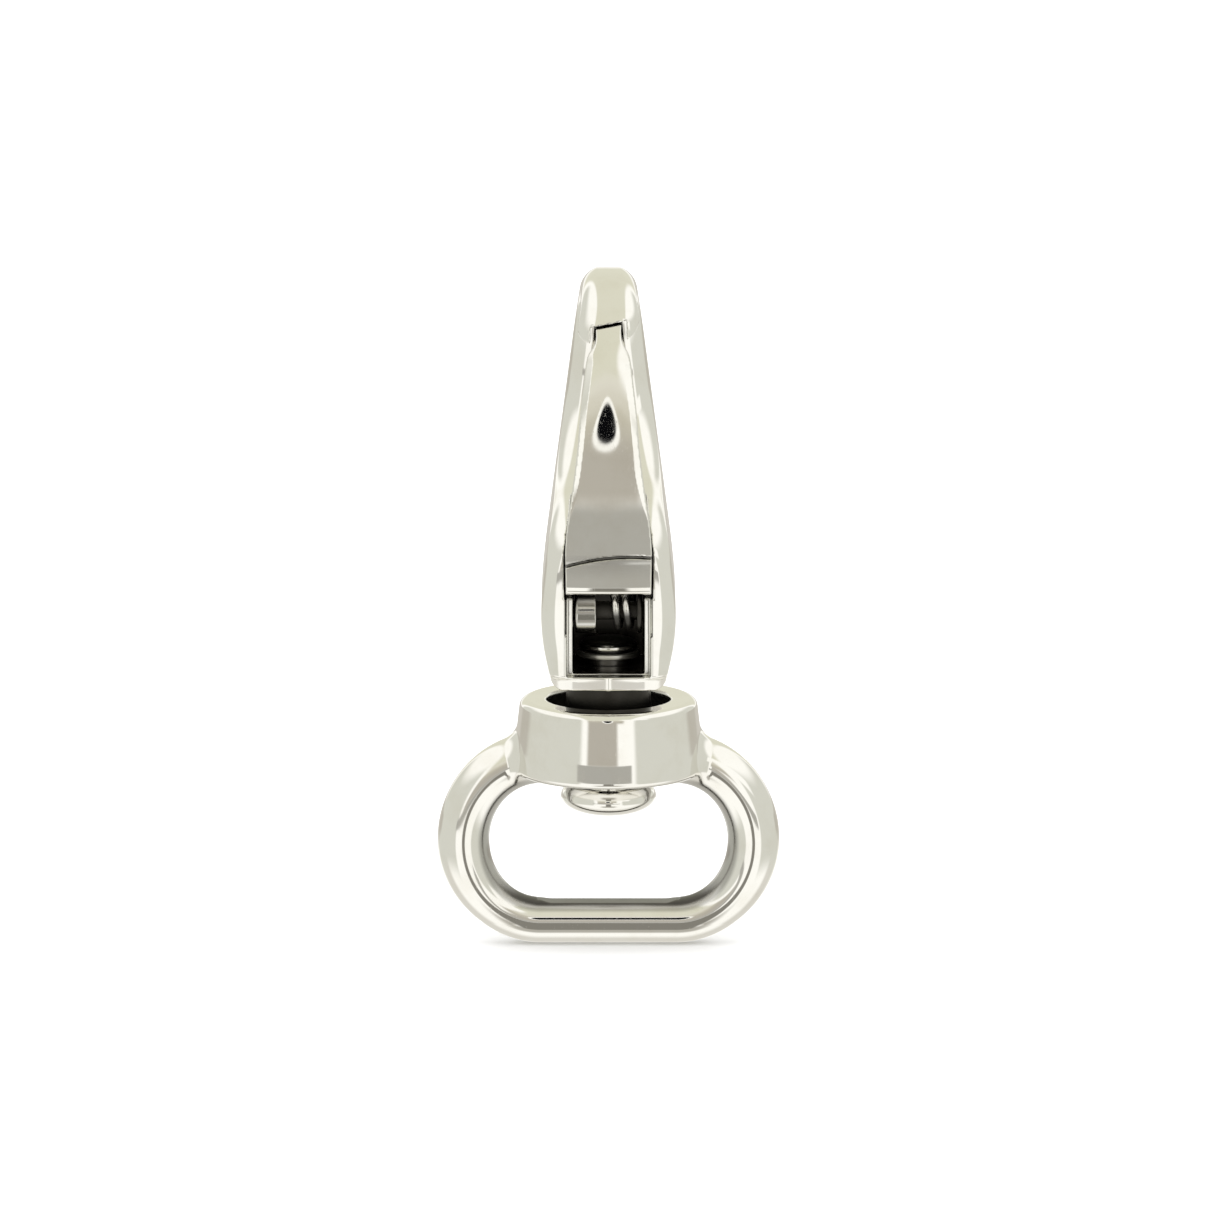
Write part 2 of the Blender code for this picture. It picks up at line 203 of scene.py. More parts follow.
# Metals, fresh and worn.
NICKEL = (0.89, 0.88, 0.85)
WORN_NICKEL = (0.84, 0.82, 0.77)
GATE_NICKEL = (0.89, 0.88, 0.845)
WORN_GATE_NICKEL = (0.83, 0.81, 0.76)
STEEL = (0.66, 0.65, 0.63)
WORN_STEEL = (0.50, 0.48, 0.45)
WASHER_STEEL = (0.80, 0.79, 0.75)
WORN_WASHER_STEEL = (0.62, 0.60, 0.56)
SPRING_STEEL = (0.90, 0.89, 0.87)
WORN_SPRING_STEEL = (0.72, 0.71, 0.69)

# Painted shade in the recesses, in the crease and on the ring's inner side: its colour, and how much of it
# shows where (1 is all).
RECESS_REACH = 4.0
PAINTED_SHADE_COLOUR = (0.035, 0.032, 0.028)
DEEP_SHADE = 0.96
CREASE_SHADE = 0.8
FOOT_SHADE = 0.3
LUG_SHADE = 0.3
RING_SHADE = 0.44
BAR_SHADE = 0.45

# Camera and floor, in degrees and metres.
CAMERA_ELEVATION = 11.0
CAMERA_DISTANCE = 1.2
FRAME_WIDTH = 0.12905
AIM_ASIDE = -0.00016
AIM_HEIGHT = 0.0312
FLOOR_RADIUS = 2.5
FLOOR_GAP = 0.0002

# Outlines: (y, z, corner) from the side, (half width, z, corner) from the front.
BODY_SIDE = [
    (-7.35, BASE_BOTTOM, True),
    (-8.0, LEDGE_BOTTOM, True),
    (-8.0, 15.0, False),
    (-8.0, 19.0, False),
    (-7.99, 22.5, False),
    (-7.8, 24.6, False),
    (-7.0, 26.7, False),
    (-5.0, 28.7, False),
    (-1.8, 30.4, False),
    (1.8, 32.0, False),
    (5.0, 34.6, False),
    (6.9, 38.2, False),
    (7.35, 42.0, False),
    (7.0, 45.2, False),
    (5.4, 48.6, False),
    (2.0, MOUTH_TOP, False),
    (-2.6, 49.6, True),
    (-4.4, FLANGE_BOTTOM, True),
    (-6.9, FLANGE_BOTTOM, True),
    (-6.4, 49.4, False),
    (-4.5, 51.9, False),
    (-1.3, 53.55, False),
    (2.2, 53.9, False),
    (6.2, 52.8, False),
    (9.6, 49.2, False),
    (11.3, 43.5, False),
    (12.0, 36.5, False),
    (11.7, 29.0, False),
    (10.2, 21.5, False),
    (8.0, 14.5, False),
    (7.0, BASE_BOTTOM, True),
]
BODY_FRONT_HALF = [
    (5.85, 9.0, True),
    (5.95, BASE_BOTTOM, False),
    (6.75, 14.0, False),
    (7.1, 18.0, False),
    (6.85, 22.0, False),
    (6.1, 28.0, False),
    (5.3, 34.0, False),
    (4.5, 40.0, False),
    (3.75, 46.0, False),
    (3.15, 50.5, False),
    (2.5, 55.0, True),
]
GATE_FOOT = [
    (-6.6, 20.95, True),
    (-9.95, 20.95, False),
    (-10.38, 21.08, False),
    (-10.62, 21.35, False),
    (-10.68, 21.75, True),
    (-10.58, 24.3, True),
]
GATE_TIP_AND_BACK = [
    (-4.95, 48.9, True),
    (-4.65, 49.55, True),
    (-3.4, 49.5, True),
    (-4.0, 46.0, False),
    (-5.2, 41.0, False),
    (-6.2, 36.0, False),
    (-6.7, 31.0, False),
    (-6.2, 27.5, False),
    (-4.3, 25.0, False),
    (-2.4, 23.6, False),
    (-2.2, 22.4, True),
    (-3.6, 21.4, True),
]
GATE_FRONT_HALF = [
    (4.46, 19.5, True),
    (4.5, 23.0, False),
    (4.52, 26.0, False),
    (4.08, 30.0, False),
    (3.6, 33.5, False),
    (3.2, 37.0, False),
    (2.9, 40.5, False),
    (2.6, 43.0, False),
    (2.35, 45.0, False),
    (2.1, 45.9, False),
    (1.68, 46.6, False),
    (1.6, 50.0, True),
]


# ---------------------------------------------------------------- outlines

def natural_spline(points, spacing):
    """Points along the smooth curve that runs through the given points."""
    points = np.array(points, float)
    steps = np.linalg.norm(np.diff(points, axis=0), axis=1)
    knots = np.concatenate([[0.0], np.cumsum(steps)])
    count = len(points)
    system = np.eye(count)
    right = np.zeros((count, 2))
    for i in range(1, count - 1):
        system[i, i - 1] = steps[i - 1]
        system[i, i] = 2 * (steps[i - 1] + steps[i])
        system[i, i + 1] = steps[i]
        slopes = (points[i + 1] - points[i]) / steps[i] - (points[i] - points[i - 1]) / steps[i - 1]
        right[i] = 6 * slopes
    bends = np.linalg.solve(system, right)
    at = np.arange(0.0, knots[-1], spacing)
    piece = np.clip(np.searchsorted(knots, at, side="right") - 1, 0, count - 2)
    width = steps[piece][:, None]
    before = (at - knots[piece])[:, None]
    after = width - before
    return (
        bends[piece] * after**3 / (6 * width)
        + bends[piece + 1] * before**3 / (6 * width)
        + (points[piece] / width - bends[piece] * width / 6) * after
        + (points[piece + 1] / width - bends[piece + 1] * width / 6) * before
    )


def closed_curve(outline, spacing=0.1):
    """A fine closed polygon through (a, b, corner) points, smooth between its corners."""
    first = next(i for i, point in enumerate(outline) if point[2])
    turned = outline[first:] + outline[: first + 1]
    stretches = []
    stretch = [turned[0][:2]]
    for point in turned[1:]:
        stretch.append(point[:2])
        if point[2]:
            stretches.append(natural_spline(stretch, spacing))
            stretch = [point[:2]]
    return np.concatenate(stretches)


def mirrored(half):
    return half + [(-width, z, corner) for width, z, corner in reversed(half)]


def signed_distance(points, polygon):
    """Distance of each point to a closed polygon, negative inside."""
    ends = np.roll(polygon, -1, axis=0)
    nearest = np.full(len(points), np.inf)
    crossings = np.zeros(len(points), int)
    block = 48
    for first in range(0, len(polygon), block):
        start = polygon[first:first + block]
        step = ends[first:first + block] - start
        da = points[:, :1] - start[:, 0]
        db = points[:, 1:] - start[:, 1]
        share = np.clip((da * step[:, 0] + db * step[:, 1]) / (step**2).sum(1), 0, 1)
        squared = (da - share * step[:, 0]) ** 2 + (db - share * step[:, 1]) ** 2
        nearest = np.minimum(nearest, squared.min(1))
        spans = (db < 0) != (db < step[:, 1])
        rise = np.where(step[:, 1] == 0, 1e-12, step[:, 1])
        crossings += (spans & (da < db * step[:, 0] / rise)).sum(1)
    return np.sqrt(nearest) * np.where(crossings % 2, -1.0, 1.0)


class Outline:
    """The signed distance to a closed curve in a plane, interpolated with cubic B-splines."""

    spacing = 0.15
    margin = 4.0

    def __init__(self, polygon):
        self.low = polygon.min(0) - self.margin
        self.count = np.ceil((polygon.max(0) + self.margin - self.low) / self.spacing).astype(int) + 3
        a, b = (self.low[k] + self.spacing * np.arange(self.count[k]) for k in (0, 1))
        grid = np.stack(np.meshgrid(a, b, indexing="ij"), -1).reshape(-1, 2)
        self.values = signed_distance(grid, polygon).ravel()

    def weights(self, at, axis):
        place = np.clip((at - self.low[axis]) / self.spacing, 1.0, self.count[axis] - 2.001)
        cell = place.astype(int)
        t = place - cell
        return cell, (
            (1 - t) ** 3 / 6,
            (3 * t**3 - 6 * t**2 + 4) / 6,
            (-3 * t**3 + 3 * t**2 + 3 * t + 1) / 6,
            t**3 / 6,
        )

    def __call__(self, a, b):
        cell_a, weight_a = self.weights(a, 0)
        cell_b, weight_b = self.weights(b, 1)
        total = 0.0
        for i in range(4):
            row = (cell_a + i - 1) * self.count[1]
            for j in range(4):
                total = total + weight_a[i] * weight_b[j] * self.values[row + cell_b + j - 1]
        return total


# ---------------------------------------------------------------- solids as distance fields

def meet(a, b, rounding=0.0):
    """What both solids share, with its new edge rounded."""
    if np.ndim(rounding) == 0 and rounding <= 0:
        return np.maximum(a, b)
    u = a + rounding
    v = b + rounding
    corner = np.sqrt(np.maximum(u, 0) ** 2 + np.maximum(v, 0) ** 2)
    return corner + np.minimum(np.maximum(u, v), 0) - rounding


def join(a, b, fillet=0.0):
    return -meet(-a, -b, fillet)


def cut(a, b, rounding=0.0):
    return meet(a, -b, rounding)


def block(x, y, z, low, high, rounding=0.2):
    """A box with rounded edges."""
    centre = [(lo + hi) / 2 for lo, hi in zip(low, high)]
    half = [(hi - lo) / 2 - rounding for lo, hi in zip(low, high)]
    offsets = [np.abs(at - c) - h for at, c, h in zip((x, y, z), centre, half)]
    outside = np.sqrt(sum(np.maximum(q, 0) ** 2 for q in offsets))
    inside = np.minimum(np.maximum(np.maximum(offsets[0], offsets[1]), offsets[2]), 0)
    return outside + inside - rounding


def slice_of(at, low, high):
    return np.abs(at - (low + high) / 2) - (high - low) / 2


def blend_height(z, low, high):
    """0 below low, 1 above high, smooth between."""
    t = np.clip((z - low) / (high - low), 0, 1)
    return t * t * (3 - 2 * t)


# ---------------------------------------------------------------- meshing

def crossing_edges(values, inside, axis):
    """Grid edges along an axis that cross the surface: index, share along the edge, direction."""
    ahead = [slice(None)] * 3
    behind = [slice(None)] * 3
    ahead[axis] = slice(1, None)
    behind[axis] = slice(None, -1)
    starts_inside = inside[tuple(behind)]
    crossed = np.argwhere(starts_inside != inside[tuple(ahead)])
    near = values[tuple(crossed.T)]
    beyond = crossed.copy()
    beyond[:, axis] += 1
    far = values[tuple(beyond.T)]
    return crossed, near / (near - far), inside[tuple(crossed.T)]


def surface_net(values):
    """Vertices in grid steps, and quads facing outwards, of the surface where values change sign."""
    inside = values < 0
    shape = np.array(values.shape)
    strides = np.array([shape[1] * shape[2], shape[2], 1])
    ids, places, quads = [], [], []
    for axis in range(3):
        side_a, side_b = (axis + 1) % 3, (axis + 2) % 3
        index, share, outward = crossing_edges(values, inside, axis)
        point = index.astype(float)
        point[:, axis] += share
        cell = index @ strides
        around = [
            cell,
            cell - strides[side_a],
            cell - strides[side_a] - strides[side_b],
            cell - strides[side_b],
        ]
        for corner in around:
            ids.append(corner)
            places.append(point)
        ring = np.stack(around, 1)
        quads.append(np.where(outward[:, None], ring, ring[:, ::-1]))
    ids = np.concatenate(ids)
    places = np.concatenate(places)
    quads = np.concatenate(quads)
    used, vertex = np.unique(ids, return_inverse=True)
    count = np.bincount(vertex)
    vertices = np.stack([np.bincount(vertex, places[:, k]) / count for k in range(3)], 1)
    return vertices, np.searchsorted(used, quads)


def slopes(field, points, reach=0.02):
    columns = []
    for axis in range(3):
        step = np.zeros(3)
        step[axis] = reach
        ahead = field(*(points + step).T)
        behind = field(*(points - step).T)
        columns.append((ahead - behind) / (2 * reach))
    return np.stack(columns, 1)


def mesh_of(name, field, low, high, cell):
    """An object whose surface is where the field is 0, with the field's own normals."""
    low = np.array(low, float)
    axes = [np.arange(lo, hi + cell, cell) for lo, hi in zip(low, high)]
    x, y, z = np.meshgrid(*axes, indexing="ij", sparse=True)
    shape = tuple(len(axis) for axis in axes)
    values = np.broadcast_to(field(x, y, z), shape).copy()
    values[values == 0] = 1e-9
    vertices, quads = surface_net(values)
    vertices = vertices * cell + low
    for _ in range(3):
        gradient = slopes(field, vertices)
        size = np.maximum((gradient**2).sum(1, keepdims=True), 0.2)
        offset = field(*vertices.T)[:, None] * gradient / size
        vertices = vertices - np.clip(offset, -cell / 2, cell / 2)
    gradient = slopes(field, vertices)
    normals = gradient / np.maximum(np.linalg.norm(gradient, axis=1, keepdims=True), 1e-9)
    return add_mesh(name, vertices, quads, normals)


def add_mesh(name, vertices, faces, normals=None):
    mesh = bpy.data.meshes.new(name)
    mesh.from_pydata(lift(np.asarray(vertices)).tolist(), [], np.asarray(faces).tolist())
    mesh.shade_smooth()
    if normals is not None:
        mesh.normals_split_custom_set_from_vertices(normals.tolist())
    obj = bpy.data.objects.new(name, mesh)
    bpy.context.scene.collection.objects.link(obj)
    return obj


def land_offset():
    """The frame's height of the collar's underside, in metres."""
    return np.array([0.0, 0.0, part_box("swivel_eye")[1].z - COLLAR_HEIGHT * MM])


def lift(points):
    """From millimetres above the collar's underside to the frame's metres."""
    return points * MM + land_offset()


def mark_painted_shade(piece, painted_shade):
    """Stores how much painted shade each point of a piece gets, from 0 in the open to 1 deep inside."""
    mesh = piece.data
    places = np.empty(len(mesh.vertices) * 3)
    mesh.vertices.foreach_get("co", places)
    places = (places.reshape(-1, 3) - land_offset()) / MM
    values = np.broadcast_to(painted_shade(*places.T), len(places))
    attribute = mesh.attributes.new("painted_shade", "FLOAT", "POINT")
    attribute.data.foreach_set("value", values.astype(np.float32))


# ---------------------------------------------------------------- strap eye

def eye_centre_line():
    middle = (EYE_TOP + EYE_BOTTOM) / 2
    half_height = (EYE_TOP - EYE_BOTTOM) / 2
    turns = np.linspace(-math.pi / 2, math.pi / 2, 300)
    right = np.stack(
        [EYE_STRAIGHT_HALF + EYE_END_HALF_WIDTH * np.cos(turns), middle + half_height * np.sin(turns)], 1
    )
    top = np.stack([np.linspace(EYE_STRAIGHT_HALF, -EYE_STRAIGHT_HALF, 150)[1:-1], np.full(148, EYE_TOP)], 1)
    left = right[::-1] * (-1, 1)
    bottom = top[::-1] * (1, 0) + (0, EYE_BOTTOM)
    return np.concatenate([right, top, left, bottom])


def collar_radius(z):
    """The collar's barrelled side: nearly upright at its foot, steeper above, and curling in at the rim."""
    heights = np.linspace(-1.0, COLLAR_HEIGHT + 1.0, 1001)
    slope = COLLAR_FOOT_SLOPE + (COLLAR_SIDE_SLOPE - COLLAR_FOOT_SLOPE) * blend_height(heights, 2.3, 3.1)
    slope = slope + (COLLAR_RIM_SLOPE - COLLAR_SIDE_SLOPE) * blend_height(heights, 6.8, 8.0)
    shrink = np.cumsum(slope) * (heights[1] - heights[0])
    return COLLAR_FOOT_RADIUS - np.interp(z, heights, shrink - np.interp(0.0, heights, shrink))


def build_eye():
    centre_line = Outline(eye_centre_line())
    half_height = (EYE_TOP - EYE_BOTTOM) / 2
    land_height = EYE_BOTTOM + EYE_BAR_RADIUS - LAND_DEPTH
    land_half = EYE_STRAIGHT_HALF + 0.4

    def field(x, y, z):
        r = np.sqrt(x**2 + y**2)
        collar = meet(r - collar_radius(z), slice_of(z, 0, COLLAR_HEIGHT), COLLAR_ROUNDING)
        share = np.clip((z - EYE_BOTTOM) / half_height, 0, 1)
        thickness = EYE_BAR_RADIUS + (EYE_ARM_RADIUS - EYE_BAR_RADIUS) * np.sin(share * math.pi / 2)
        ring = np.sqrt(centre_line(x, z) ** 2 + y**2) - thickness
        land_rise = LAND_END_RISE * blend_height(np.abs(x), 6.0, 7.5)
        land = block(
            x, y, z - land_rise, (-land_half, -3, land_height), (land_half, 3, land_height + 3), 0.05
        )
        eye = join(collar, cut(ring, land, 0.06), EYE_FILLET)
        bore = meet(r - BORE_RADIUS, -z - 8)
        counterbore = meet(r - COUNTERBORE_RADIUS, COUNTERBORE_FLOOR - z)
        eye = cut(eye, counterbore, 0.35)
        return cut(eye, bore, 0.2)

    def painted_shade(x, y, z):
        """Painted shade: the counterbore is dark, and so is the ring's inner side, most of all along the
        bar.
        """
        thickness = EYE_BAR_RADIUS + (EYE_ARM_RADIUS - EYE_BAR_RADIUS) * blend_height(z, -15, -8)
        inward = -centre_line(x, z) / thickness
        below_collar = 1 - blend_height(z, -1.0, 0.2)
        inner_side = RING_SHADE * blend_height(inward, 0.52, 0.68)
        along_bar = BAR_SHADE * blend_height(inward, 0.76, 0.9) * (1 - blend_height(z, -13.5, -11))
        well = DEEP_SHADE * (1 - blend_height(np.sqrt(x**2 + y**2), 6.5, 6.8))
        well = well * blend_height(z, 4, 5) * (1 - blend_height(z, 7.5, 7.9))
        return np.maximum(well, below_collar * (inner_side + along_bar))

    eye = mesh_of("strap_eye_casting", field, (-18.6, -10.6, -19), (18.6, 10.6, 8.6), 0.22)
    mark_painted_shade(eye, painted_shade)
    return eye


# ---------------------------------------------------------------- hook body

def slanted(x, y, z):
    """Heights near the tip, where the nose's end and the gate's tip slant a little to one side."""
    near_tip = blend_height(z, 45, 49.5) * (1 - blend_height(z, 49.5, 54)) * (1 - blend_height(y, -4, 4))
    return z - LIP_SLANT * x * near_tip


def build_body():
    side = Outline(closed_curve(BODY_SIDE))
    front = Outline(closed_curve(mirrored(BODY_FRONT_HALF)))

    def field(x, y, z):
        z = slanted(x, y, z)
        rounding = FOOT_ROUNDING + (CHEEK_ROUNDING - FOOT_ROUNDING) * blend_height(z, 11, 15)
        rounding = rounding + (SPINE_ROUNDING - CHEEK_ROUNDING) * blend_height(z, 22.5, 27)
        seam = PARTING_HEIGHT * np.exp(-((x / PARTING_HALF_WIDTH) ** 2)) * blend_height(-y, 6.5, 7.5)
        cant = FACE_CANT * np.maximum(np.abs(x) - POCKET_HALF_WIDTH, 0)
        crown = LIP_CROWN * x**2 * (1 - blend_height(z, 11.2, 11.9))
        set_back = (cant + crown) * (1 - blend_height(y, -7, -5))
        seam = seam * (1 - blend_height(z, 13, 14))
        body = meet(side(y - set_back, z), front(x, z), rounding) - seam
        neck = meet(np.sqrt(x**2 + y**2) - NECK_RADIUS, slice_of(z, NECK_BOTTOM, BASE_BOTTOM + 2), 0.3)
        body = join(body, neck, 0.4)
        narrowing = SLOT_TAPER * np.clip(z - SLOT_TAPER_START, 0, 6)
        slot = block(
            np.abs(x) + narrowing, y, z,
            (-SLOT_HALF_WIDTH, IN_FRONT, SLOT_FLOOR), (SLOT_HALF_WIDTH, SLOT_BACK, SLOT_TOP), 0.3,
        )
        ledge = block(
            x, y - set_back, z,
            (-LEDGE_HALF_WIDTH, IN_FRONT, LEDGE_BOTTOM),
            (LEDGE_HALF_WIDTH, LEDGE_FRONT, SLOT_FLOOR + 1),
            0.15,
        )
        pocket = block(
            x, y, z,
            (-POCKET_HALF_WIDTH, IN_FRONT, LEDGE_BOTTOM + 0.15),
            (POCKET_HALF_WIDTH, POCKET_BACK, SLOT_FLOOR + 2),
            0.15,
        )
        relief = block(
            np.abs(x), y, z,
            (RELIEF[0], IN_FRONT, RELIEF_BOTTOM),
            (RELIEF[1], RELIEF_FRONT, SLOT_FLOOR + 1),
            0.05,
        )
        lip_notch = block(
            x, y, z,
            (-NOTCH_HALF_WIDTH, IN_FRONT, NOTCH_BOTTOM),
            (NOTCH_HALF_WIDTH, LIP_BACK + 0.2, LIP_HEIGHT),
            0.05,
        )
        tip_notch = block(
            x, y, z, (-NOTCH_HALF_WIDTH, LIP_BACK, NOTCH_BOTTOM), (NOTCH_HALF_WIDTH, 1, MOUTH_TOP), 0.05
        )
        body = cut(cut(body, lip_notch, 0.1), tip_notch, 0.1)
        body = cut(body, slot, MOUTH_ROUNDING)
        body = cut(body, ledge, MOUTH_ROUNDING)
        body = cut(body, relief, 0.05)
        body = cut(body, pocket, 0.1)
        pin_hole = np.sqrt((y - HINGE_Y) ** 2 + (z - HINGE_Z) ** 2) - PIN_RADIUS - PIN_CLEARANCE
        body = cut(body, pin_hole, 0.1)
        rivet_hole = meet(
            np.sqrt(x**2 + y**2) - SHANK_RADIUS - PIN_CLEARANCE,
            slice_of(z, NECK_BOTTOM - 2, POCKET_FLOOR + 2),
        )
        return cut(body, rivet_hole, 0.1)

    body = mesh_of("hook_casting", field, (-7.8, -9, 5.2), (7.8, 12.9, 54.8), 0.2)
    mark_painted_shade(body, body_painted_shade)
    return body


def body_painted_shade(x, y, z):
    """Painted shade on the neck, in the pocket and in the lower part of the slot."""
    neck = DEEP_SHADE * (1 - blend_height(z, 9.9, 10.05))
    depth = blend_height(y, -6.5, -5.4) * (1 - blend_height(y, 4.6, 4.9))
    height = blend_height(z, 11.7, 12.1) * (1 - blend_height(z, 21, 26))
    inside = 1 - blend_height(np.abs(x), 4.68, 4.76)
    return np.maximum(neck, DEEP_SHADE * depth * height * inside)


# ---------------------------------------------------------------- gate

def face_place(z):
    """How far forward the gate's face is at a height: it leans back more and more towards its tip."""
    start_y, start_z = GATE_FACE_START
    height = GATE_FACE_END - start_z
    level, growth = GATE_FACE_SLOPES
    share = np.clip((z - start_z) / height, 0, 1)
    return start_y + height * (level * share + growth * share**3 / 3)


def gate_face():
    """The front of the gate from the crease up."""
    heights = np.linspace(GATE_FACE_START[1], GATE_FACE_END, 9)
    return [(face_place(z), z, z in (heights[0], heights[-1])) for z in heights]


def gate_drop(x, z, half_width):
    """How far the gate's face falls back at x: a crown that sharpens upwards, and a chamfer at each edge."""
    share = blend_height(z, 26.3, 34)
    level, growth = GATE_CROWN
    crown = (level + growth * np.clip((z - 34) / 8, 0, 1.6) ** 2) * x**2
    chamfer = GATE_CHAMFER * share * (1 - 0.7 * blend_height(z, 45, 46.8))
    beyond = np.maximum(np.abs(x) - half_width + chamfer, 0)
    soft = 0.12
    ramp = np.where(beyond < soft, beyond**2 / (2 * soft), beyond - soft / 2)
    return crown + GATE_CHAMFER_SLOPE * ramp * share


def crease_height(x):
    return CREASE_TOP - CREASE_SAG * x**2 + CREASE_TILT * x


def build_gate():
    side = Outline(closed_curve(GATE_FOOT + gate_face() + GATE_TIP_AND_BACK))
    front = Outline(closed_curve(mirrored(GATE_FRONT_HALF)))
    widths, heights, _ = zip(*GATE_FRONT_HALF)
    edge = natural_spline(list(zip(widths, heights)), 0.05)

    def field(x, y, z):
        z = slanted(x, y, z)
        half_width = np.interp(z, edge[:, 1], edge[:, 0])
        fall = gate_drop(x, z, half_width) * (1 - blend_height(y, -8, -4))
        draft = GATE_DRAFT * blend_height(y - face_place(z), 1.3, 2.6)
        gate = meet(side(y - fall, z), front(x + np.sign(x) * draft, z), GATE_CORNER)
        groove = meet(
            np.abs(z - crease_height(x)) - CREASE_HALF_WIDTH,
            y - GATE_FACE_START[0] - CREASE_DEPTH - fall,
            0.05,
        )
        gate = cut(gate, groove, 0.08)
        across = np.sqrt((y - HINGE_Y) ** 2 + (z - HINGE_Z) ** 2)
        knuckle_half_depth = KNUCKLE_RADIUS - KNUCKLE_SET_BACK
        upright = meet(
            np.abs(y - HINGE_Y - KNUCKLE_SET_BACK) - knuckle_half_depth, slice_of(z, HINGE_Z, KNUCKLE_TOP)
        )
        knuckle = meet(join(across - KNUCKLE_RADIUS, upright), np.abs(x) - KNUCKLE_HALF_WIDTH, 0.3)
        gate = join(gate, knuckle, 0.3)
        left, right = SPRING_BAY
        bay = meet(across - SPRING_BAY_RADIUS, slice_of(x, left, right))
        bay_back = block(
            x, y, z, (left, SPRING_BAY_BACK, HINGE_Z), (right, SPRING_BAY_BACK + 6, SPRING_BAY_TOP), 0.1
        )
        bay_front = block(
            x, y, z,
            (left, SPRING_BAY_FRONT, HINGE_Z),
            (right, SPRING_BAY_BACK + 1, GATE_FOOT[0][1] - 0.05),
            0.1,
        )
        for opening in (bay, bay_back, bay_front):
            gate = cut(gate, opening, 0.12)
        return cut(gate, across - PIN_RADIUS - PIN_CLEARANCE, 0.1)

    gate = mesh_of("gate_casting", field, (-5.2, -11.6, 15.2), (5.2, -0.8, 50.6), 0.12)
    mark_painted_shade(gate, gate_painted_shade)
    return gate


def gate_painted_shade(x, y, z):
    """Painted shade: the crease and the lugs are dark, and the face below the crease is shaded.

    The lugs are darkest farther back and at the right.
    """
    lug = 1 - blend_height(z, 20.6, 20.9)
    depth = np.maximum(blend_height(y, -6.3, -5.2), blend_height(x, -1.4, -1.2))
    crease = CREASE_SHADE * (1 - blend_height(np.abs(z - crease_height(x)), 0.12, 0.24))
    crease = crease * (1 - blend_height(y, -9.8, -9.6))
    below_crease = FOOT_SHADE * blend_height(z, 22.3, 24.8) * (1 - blend_height(z, 24.9, 25.3))
    return np.maximum(np.maximum(crease, below_crease), lug * (LUG_SHADE + 0.65 * depth))


# ---------------------------------------------------------------- turned and bent pieces

def lathe(name, profile, steps=128, axis="Z", centre=(0.0, 0.0, 0.0)):
    """A turned piece from (radius, height) points given from the top of the axis to its bottom."""
    turns = np.linspace(0, 2 * math.pi, steps, endpoint=False)
    rings = [(r, h) for r, h in profile if r > 0]
    vertices = [
        (r * math.cos(t), r * math.sin(t), h) for r, h in rings for t in turns
    ]
    faces = []
    for ring in range(len(rings) - 1):
        for i in range(steps):
            j = (i + 1) % steps
            a, b = ring * steps, (ring + 1) * steps
            faces.append((a + i, b + i, b + j, a + j))
    for end, first in ((0, 0), (len(profile) - 1, (len(rings) - 1) * steps)):
        if profile[end][0] > 0:
            continue
        tip = len(vertices)
        vertices.append((0.0, 0.0, profile[end][1]))
        for i in range(steps):
            j = (i + 1) % steps
            faces.append((first + i, first + j, tip) if end == 0 else (first + j, first + i, tip))
    if profile[0][0] > 0:
        last = (len(rings) - 1) * steps
        for i in range(steps):
            j = (i + 1) % steps
            faces.append((last + i, i, j, last + j))
    vertices = np.array(vertices)
    if axis == "X":
        vertices = vertices[:, [2, 0, 1]]
    return add_plain(name, vertices + np.array(centre), faces)


def add_plain(name, vertices, faces):
    mesh = bpy.data.meshes.new(name)
    mesh.from_pydata(lift(np.asarray(vertices)).tolist(), [], [tuple(face) for face in faces])
    mesh.shade_smooth()
    mesh.set_sharp_from_angle(angle=math.radians(50))
    obj = bpy.data.objects.new(name, mesh)
    bpy.context.scene.collection.objects.link(obj)
    return obj


def quarter(centre, radius_a, radius_b, start, end, steps=10):
    angles = np.radians(np.linspace(start, end, steps + 1))
    return [(centre[0] + radius_a * math.cos(t), centre[1] + radius_b * math.sin(t)) for t in angles]


def build_rivet():
    tail_bottom = POCKET_FLOOR + 2 * SEAT_GAP + WASHER_THICKNESS
    tail_top = tail_bottom + TAIL_HEIGHT
    upper = RIVET_HEAD_TOP - RIVET_HEAD_WIDEST
    lower = RIVET_HEAD_WIDEST - RIVET_HEAD_BOTTOM
    rim = tail_bottom + 0.35
    profile = [(0, tail_top)]
    profile += quarter((0, rim + 0.1), TAIL_RADIUS - 0.15, tail_top - rim - 0.1, 84, 12, 14)
    profile += quarter((TAIL_RADIUS - 0.12, rim), 0.12, 0.12, 70, 0, 4)
    profile += [(TAIL_RADIUS, tail_bottom + 0.1), (TAIL_RADIUS - 0.1, tail_bottom)]
    profile += [(SHANK_RADIUS, tail_bottom), (SHANK_RADIUS, RIVET_HEAD_TOP)]
    profile += quarter((RIVET_HEAD_RADIUS - upper, RIVET_HEAD_WIDEST), upper, upper, 90, 0, 16)
    profile += quarter((0, RIVET_HEAD_WIDEST), RIVET_HEAD_RADIUS, lower, 0, -88, 28)[1:]
    profile.append((0, RIVET_HEAD_BOTTOM))
    rivet = lathe("rivet_turning", profile)

    def painted_shade(x, y, z):
        """The tail gets painted shade where it sits in the window, apart from its rim."""
        rim_share = blend_height(np.sqrt(x**2 + y**2), 2.8, 3.0)
        return blend_height(z, 11, 12) * (DEEP_SHADE - 0.86 * rim_share)

    mark_painted_shade(rivet, painted_shade)
    return rivet


